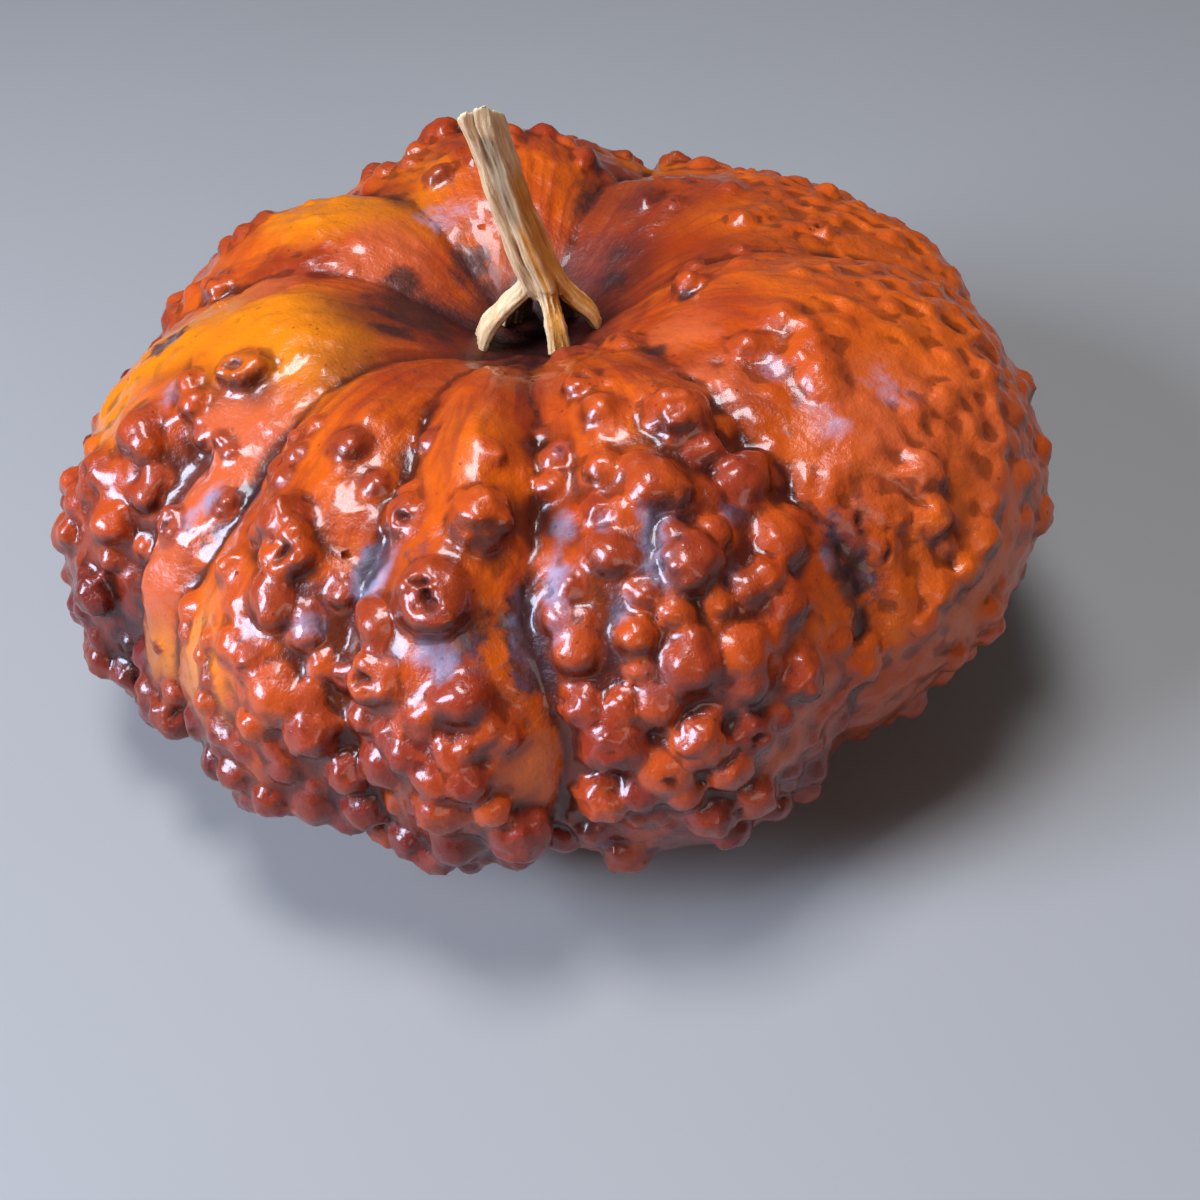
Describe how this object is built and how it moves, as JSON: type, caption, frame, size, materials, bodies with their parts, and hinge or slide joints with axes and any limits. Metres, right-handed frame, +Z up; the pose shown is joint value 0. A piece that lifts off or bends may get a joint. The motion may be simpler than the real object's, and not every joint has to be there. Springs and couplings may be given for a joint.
{
  "type": "winter squash",
  "caption": "Low, round, deeply ribbed winter squash covered in clustered warts, with a dried woody stem on spread feet.",
  "frame": {"origin": "on the surface it rests on, under the middle of its bounding box", "axes": "+Z up along the stem, -Y the front of the fruit as it is usually seen, +X to its right"},
  "size_m": [0.195, 0.1996, 0.1233],
  "materials": {
    "warty_skin": "glossy waxy rind, orange between the ribs and dark red on the warts, with grey scars",
    "dried_stem": "dry matt fibrous stem, tan to yellow brown, with long ridges"
  },
  "bodies": {
    "root": {"fruit": "warty_skin", "stem": "dried_stem"}
  },
  "joints": []
}
